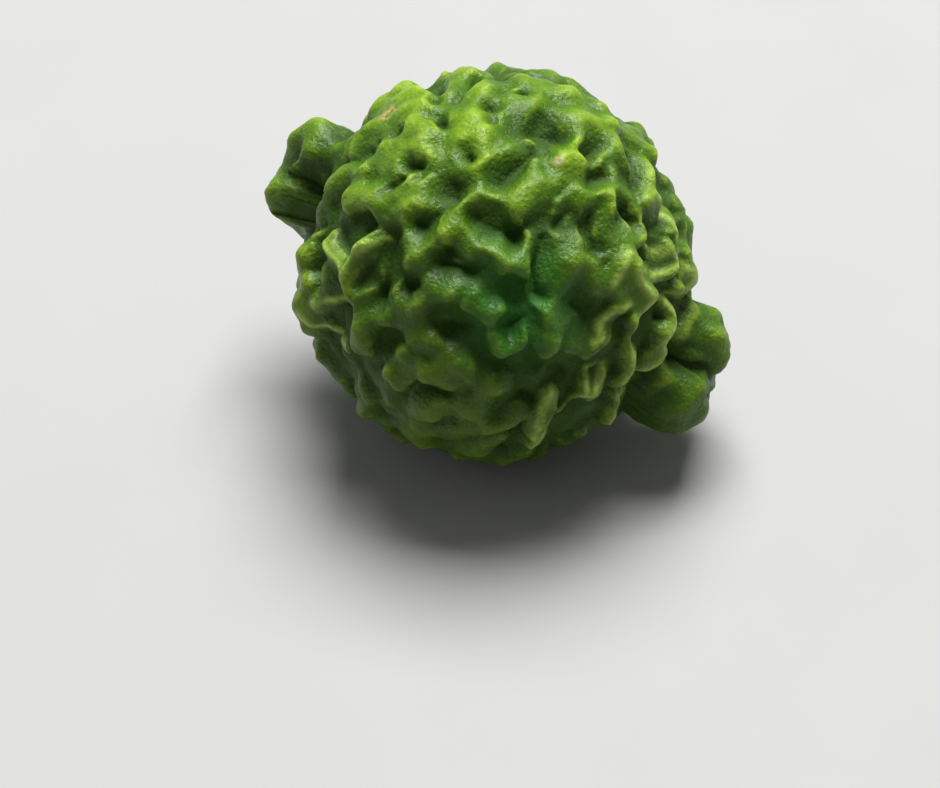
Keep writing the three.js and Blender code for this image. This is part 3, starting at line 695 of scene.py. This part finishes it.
def make_rind():
    """The rind, with the values that its colour follows at each of its points."""
    directions, quads = cube_grid(GRID)
    radius = rind_along(directions)
    p = directions * radius[:, None]
    fine = FINE_WRINKLE * wave_sum(fine_waves, p) * np.abs(wave_sum(fine_patches, p))
    body = body_along(directions)
    on_lobe = np.clip((body - BALL_RADIUS) / LOBE_HEIGHT, 0, 1)
    # the crest lines raise the rind a little, and also carry the painted sheen
    crest = crest_lines(p) * np.clip(1 - CREST_FADE * on_lobe, 0, 1)
    p = sink_socket(directions * (radius + fine + CREST_LINE[1] * crest)[:, None])
    p[:, 2] = np.maximum(p[:, 2], -CENTRE_HEIGHT)
    rind = add_mesh("rind", p, quads)
    around = spread(radius, quads, WIDE_ROUNDS)
    close = spread(radius, quads, CLOSE_ROUNDS)
    # painted shade: how far each point faces the light from above
    lit_side_share = directions @ unit(PAINTED_LIGHT_FROM)
    set_value(rind.data, "crest", crest)
    # the mask of the painted shade in the hollows
    set_value(rind.data, "hollow", np.clip((around - radius) / HOLLOW_DEPTH, -1, 1))
    # the mask of the painted highlights on the ridges
    set_value(rind.data, "painted_ridge_highlight", np.clip((radius - close) / RIDGE_HEIGHT, -1, 1))
    set_value(rind.data, "rise", np.clip((radius - body) / RISE_HEIGHT + LOBE_RISE * on_lobe, -1, 1.5))
    set_value(rind.data, "lobe", on_lobe)
    # the mask of the painted shade on the side away from the light
    set_value(rind.data, "painted_lit_side", np.clip((lit_side_share - PAINTED_SHADE_REACH[0]) / (PAINTED_SHADE_REACH[1] - PAINTED_SHADE_REACH[0]), 0, 1))
    return rind


def fibre_sum(fibres, angle, height):
    return sum(size * math.sin(count * angle + turn * height) for size, count, turn in fibres)


def make_button():
    """The dry calyx with its five sepals, and the broken stump of the stem, fibrous and hollow-topped."""
    points, faces = [], []
    underside = socket_place + socket_facing * (BUTTON_FLOOR - SOCKET_DEPTH)
    for share, height in BUTTON_PROFILE[1:-1]:
        for step in range(BUTTON_STEPS):
            angle = 2 * math.pi * step / BUTTON_STEPS
            sepal = 1 - SEPAL_WAVE * (1 - math.cos(SEPALS * angle)) if height < CALYX_HEIGHT else 1.0
            reach = BUTTON_RADIUS * share * sepal * (1 + fibre_sum(REACH_FIBRES, angle, height))
            points.append(
                underside
                + socket_east * reach * math.cos(angle)
                + socket_north * reach * math.sin(angle)
                + socket_facing * (height + fibre_sum(LIFT_FIBRES, angle, height))
            )
    low, high = len(points), len(points) + 1
    points += [underside + socket_facing * BUTTON_PROFILE[end][1] for end in (0, -1)]
    last = low - BUTTON_STEPS
    for step in range(BUTTON_STEPS):
        after = (step + 1) % BUTTON_STEPS
        faces.append((low, after, step))
        for a in range(0, last, BUTTON_STEPS):
            b = a + BUTTON_STEPS
            faces.append((a + step, a + after, b + after, b + step))
        faces.append((high, last + step, last + after))
    return add_mesh("button", points, faces)


def material(name):
    """A new material with nothing but its shader."""
    made = bpy.data.materials.new(name)
    made.use_nodes = True
    nodes, links = made.node_tree.nodes, made.node_tree.links
    nodes.clear()
    output = nodes.new("ShaderNodeOutputMaterial")
    shader = nodes.new("ShaderNodeBsdfPrincipled")
    links.new(shader.outputs["BSDF"], output.inputs["Surface"])
    return made, nodes, links, shader


class Paint:
    """Short ways to add the nodes that the two materials are made of."""

    def __init__(self, nodes, links):
        self.nodes, self.links = nodes, links
        self.position = nodes.new("ShaderNodeNewGeometry").outputs["Position"]

    def put(self, value, socket):
        if isinstance(value, bpy.types.NodeSocket):
            self.links.new(value, socket)
        else:
            socket.default_value = value

    def attribute(self, name):
        node = self.nodes.new("ShaderNodeAttribute")
        node.attribute_name = name
        return node.outputs["Fac"]

    def math(self, operation, a, b):
        node = self.nodes.new("ShaderNodeMath")
        node.operation = operation
        self.put(a, node.inputs[0])
        self.put(b, node.inputs[1])
        return node.outputs[0]

    def times(self, a, b):
        return self.math("MULTIPLY", a, b)

    def swing(self, value, share):
        """A value between 0 and 1, as a swing round 0."""
        return self.times(self.math("SUBTRACT", value, 0.5), share)

    def noise(self, size_mm, detail=3.0, roughness=0.55, distortion=0.0, shift=(0, 0, 0)):
        node = self.nodes.new("ShaderNodeTexNoise")
        node.inputs["Scale"].default_value = 1 / (size_mm * MM)
        node.inputs["Detail"].default_value = detail
        node.inputs["Roughness"].default_value = roughness
        node.inputs["Distortion"].default_value = distortion
        moved = self.nodes.new("ShaderNodeVectorMath")
        self.put(self.position, moved.inputs[0])
        moved.inputs[1].default_value = shift
        self.links.new(moved.outputs[0], node.inputs["Vector"])
        return node.outputs["Fac"]

    def cells(self, size_mm):
        node = self.nodes.new("ShaderNodeTexVoronoi")
        node.inputs["Scale"].default_value = 1 / (size_mm * MM)
        self.put(self.position, node.inputs["Vector"])
        return node.outputs["Distance"]

    def ramp(self, value, low, high, start=0.0, end=1.0):
        """From start to end, smoothly, while the value goes from low to high."""
        node = self.nodes.new("ShaderNodeMapRange")
        node.interpolation_type = "SMOOTHSTEP"
        self.put(value, node.inputs["Value"])
        node.inputs["From Min"].default_value = low
        node.inputs["From Max"].default_value = high
        node.inputs["To Min"].default_value = start
        node.inputs["To Max"].default_value = end
        return node.outputs["Result"]

    def mix(self, factor, a, b):
        node = self.nodes.new("ShaderNodeMix")
        node.data_type = "RGBA"
        self.put(factor, node.inputs[0])
        for value, socket in ((a, node.inputs[6]), (b, node.inputs[7])):
            self.put(value if isinstance(value, bpy.types.NodeSocket) else (*value, 1.0), socket)
        return node.outputs[2]

    def near(self, centre, radius_mm, soft_mm, ragged_mm):
        """From 0 to 1 towards a place on the fruit, with a soft and ragged edge."""
        gap = self.nodes.new("ShaderNodeVectorMath")
        gap.operation = "DISTANCE"
        self.put(self.position, gap.inputs[0])
        gap.inputs[1].default_value = tuple((centre + np.array([0, 0, CENTRE_HEIGHT])) * MM)
        wander = self.swing(self.noise(RAGGED_LENGTH), 4 * ragged_mm * MM)
        gone = self.math("ADD", gap.outputs["Value"], wander)
        return self.ramp(gone, (radius_mm + soft_mm) * MM, (radius_mm - soft_mm) * MM)

    def bump(self, height, depth_mm, below=None):
        node = self.nodes.new("ShaderNodeBump")
        node.inputs["Strength"].default_value = 1.0
        node.inputs["Distance"].default_value = depth_mm * MM
        self.put(height, node.inputs["Height"])
        if below is not None:
            self.put(below, node.inputs["Normal"])
        return node.outputs["Normal"]


def rind_green(paint, dabs, flecks):
    """Green that is yellower on the warts, with painted shade in the furrows and painted highlights on the
    ridges, clouded at three sizes.
    """
    lobe = paint.attribute("lobe")
    level = paint.math("ADD", paint.attribute("rise"), paint.swing(paint.noise(CLOUD_SIZE, 2.0), 0.6))
    calm = paint.math("SUBTRACT", 0.6, paint.times(lobe, 0.35))
    level = paint.math("ADD", level, paint.swing(dabs, calm))
    colour = paint.mix(paint.ramp(level, 0.05, 0.75), DEEP_GREEN, MID_GREEN)
    colour = paint.mix(paint.ramp(level, 0.55, 1.25), colour, YELLOW_GREEN)

    # painted highlights: the sharpest ridges are painted the palest, in broken patches, and fine pale
    # flecks lie all over
    broken = paint.ramp(dabs, 0.40, 0.62, 0.3, 1.0)
    painted_ridge_highlight = paint.times(paint.ramp(paint.attribute("painted_ridge_highlight"), 0.15, 0.75), broken)
    painted_ridge_highlight = paint.times(painted_ridge_highlight, paint.math("SUBTRACT", 0.5, paint.times(lobe, 0.35)))
    colour = paint.mix(painted_ridge_highlight, colour, PALE_FLECK_AND_PAINTED_HIGHLIGHT)
    colour = paint.mix(paint.times(paint.ramp(flecks, 0.56, 0.72), FLECK_SHARE), colour, PALE_FLECK_AND_PAINTED_HIGHLIGHT)
    # painted shade in the hollows
    hollow = paint.ramp(paint.attribute("hollow"), 0.15, 0.9)
    colour = paint.mix(paint.times(hollow, PAINTED_HOLLOW_SHADE_SHARE), colour, PAINTED_FURROW_SHADE)

    # painted shade: the side away from the light is painted a deeper green, with the painted sheen of the
    # crest lines over it
    painted_shade = paint.times(paint.math("SUBTRACT", 1.0, paint.attribute("painted_lit_side")), PAINTED_SHADE_SHARE)
    colour = paint.mix(painted_shade, colour, DEEP_GREEN)
    # painted reflection: the pale sheen along the crests
    line = paint.times(paint.attribute("crest"), paint.ramp(dabs, 0.3, 0.6, 0.4, 0.85))
    return paint.mix(line, colour, PAINTED_CREST_SHEEN)


def rind_marks(paint, colour):
    """The cool patch in the middle of the side in sight, the scar, and the corky spot."""
    cool = paint.near(seen_on_ball(COOL_PATCH, BALL_RADIUS), *COOL_REACH)
    colour = paint.mix(paint.times(cool, COOL_SHARE), colour, COOL_GREEN)
    scar = paint.near(seen_on_ball(SCAR, BALL_RADIUS + 2), *SCAR_REACH)
    scar = paint.times(scar, paint.ramp(paint.noise(SCAR_GRAIN), 0.38, 0.56))
    colour = paint.mix(paint.times(scar, SCAR_SHARE), colour, SCAR_TAN)
    spot = paint.near(seen_on_ball(CORKY_SPOT, BALL_RADIUS + 3), *SPOT_REACH)
    return paint.mix(paint.times(spot, SPOT_SHARE), colour, SPOT_TAN)


def rind_material():
    made, nodes, links, shader = material("rind")
    paint = Paint(nodes, links)
    dabs = paint.noise(DAB_SIZE, 4.0, 0.62, 0.4, (0.3, 0.1, 0.2))
    flecks = paint.noise(FLECK_SIZE, 3.0, 0.6, 0.0, (0.7, 0.2, 0.5))
    links.new(rind_marks(paint, rind_green(paint, dabs, flecks)), shader.inputs["Base Color"])

    # oil glands: close-set dimples, with fine wrinkles between
    normal = paint.bump(paint.noise(CREASE_SIZE, 4.0, 0.6, 0.8), CREASE_DEPTH)
    normal = paint.bump(paint.ramp(paint.cells(GLAND_SIZE), 0.1, 0.62), GLAND_DEPTH, normal)
    normal = paint.bump(paint.ramp(paint.cells(PORE_SIZE), 0.05, 0.5), PORE_DEPTH, normal)
    links.new(normal, shader.inputs["Normal"])

    # glossier where it is less worn, and dull in the furrows
    worn = paint.noise(WEAR_SIZE, 3.0, 0.5, 0.0, (0.4, 0.9, 0.1))
    gloss = paint.ramp(worn, 0.3, 0.7, *RIND_ROUGHNESS)
    dull = paint.times(paint.ramp(paint.attribute("rise"), 0.4, 0.0), FURROW_DULLNESS)
    links.new(paint.math("ADD", gloss, dull), shader.inputs["Roughness"])
    shader.inputs["Specular IOR Level"].default_value = RIND_SHINE
    shader.inputs["Subsurface Weight"].default_value = UNDER_SHARE
    shader.inputs["Subsurface Radius"].default_value = UNDER_REACH
    shader.inputs["Subsurface Scale"].default_value = UNDER_DEPTH * MM
    return made


def stem_material():
    made, nodes, links, shader = material("stem")
    paint = Paint(nodes, links)
    fibres = paint.noise(FIBRE_SIZE, 4.0, 0.6, 0.5)
    colour = paint.mix(paint.ramp(fibres, 0.35, 0.65), DRY_DARK, DRY_PALE)
    green = paint.ramp(paint.noise(1.6, 2.0), 0.5, 0.7)
    colour = paint.mix(paint.times(green, 0.5), colour, DRY_GREEN)
    links.new(colour, shader.inputs["Base Color"])
    normal = paint.bump(fibres, FIBRE_DEPTH)
    links.new(paint.bump(paint.cells(CORK_SIZE), CORK_DEPTH, normal), shader.inputs["Normal"])
    links.new(paint.ramp(fibres, 0.3, 0.7, *STEM_ROUGHNESS), shader.inputs["Roughness"])
    return made


def floor_material():
    made, nodes, links, shader = material("floor")
    paint = Paint(nodes, links)
    grain = paint.noise(FLOOR_GRAIN, 2.0)
    links.new(paint.mix(grain, FLOOR_PALE, FLOOR_PALER), shader.inputs["Base Color"])
    shader.inputs["Roughness"].default_value = FLOOR_ROUGHNESS
    return made


def add_camera():
    centre = Vector((0, 0, CENTRE_HEIGHT * MM))
    back, right, up = Vector(BACK), Vector(RIGHT), Vector(UP)
    off_x = (MIDDLE_PIXEL[0] - IMAGE_WIDTH / 2) / PIXELS_PER_MM * MM
    off_y = (IMAGE_HEIGHT / 2 - MIDDLE_PIXEL[1]) / PIXELS_PER_MM * MM
    target = centre - right * off_x - up * off_y
    data = bpy.data.cameras.new("camera")
    camera = bpy.data.objects.new("camera", data)
    bpy.context.scene.collection.objects.link(camera)
    camera.location = centre + back * EYE_DISTANCE * MM
    camera.rotation_mode = "QUATERNION"
    camera.rotation_quaternion = (target - camera.location).to_track_quat("-Z", "Y")
    data.lens = data.sensor_width * PIXELS_PER_MM * EYE_DISTANCE / IMAGE_WIDTH
    data.clip_start = 0.01
    bpy.context.scene.camera = camera


def add_light(name, place, size, power):
    """A soft square light that faces the fruit, placed from its middle as the camera sees it."""
    right, above, back = place
    centre = Vector((0, 0, CENTRE_HEIGHT * MM))
    data = bpy.data.lights.new(name, "AREA")
    data.size, data.energy = size, power
    light = bpy.data.objects.new(name, data)
    light.location = centre + right * Vector(RIGHT) + above * Vector((0, 0, 1)) + back * Vector(BACK)
    light.rotation_mode = "QUATERNION"
    light.rotation_quaternion = (centre - light.location).to_track_quat("-Z", "Y")
    bpy.context.scene.collection.objects.link(light)


def add_studio():
    bpy.ops.mesh.primitive_plane_add(size=FLOOR_SIZE)
    floor = bpy.context.object
    floor.name = "floor"
    floor.data.materials.append(floor_material())
    world = bpy.data.worlds.new("studio")
    world.use_nodes = True
    sky = world.node_tree.nodes["Background"]
    sky.inputs["Color"].default_value = (1.0, 1.0, 1.0, 1.0)
    sky.inputs["Strength"].default_value = SKY_STRENGTH
    bpy.context.scene.world = world
    add_light("key", KEY_PLACE, KEY_SIZE, KEY_POWER)
    add_light("rim_right", RIM_RIGHT_PLACE, RIM_SIZE, RIM_POWER)
    add_light("rim_left", RIM_LEFT_PLACE, RIM_SIZE, RIM_POWER)
    bpy.context.scene.view_settings.view_transform = "Standard"


def finish_piece(piece, node, look):
    """A piece takes its look, and the place of the solid's node of that name."""
    piece.data.materials.append(look)
    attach(piece, "root")
    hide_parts(node)


add_camera()
add_studio()
finish_piece(make_rind(), "fruit", rind_material())
finish_piece(make_button(), "stem_button", stem_material())
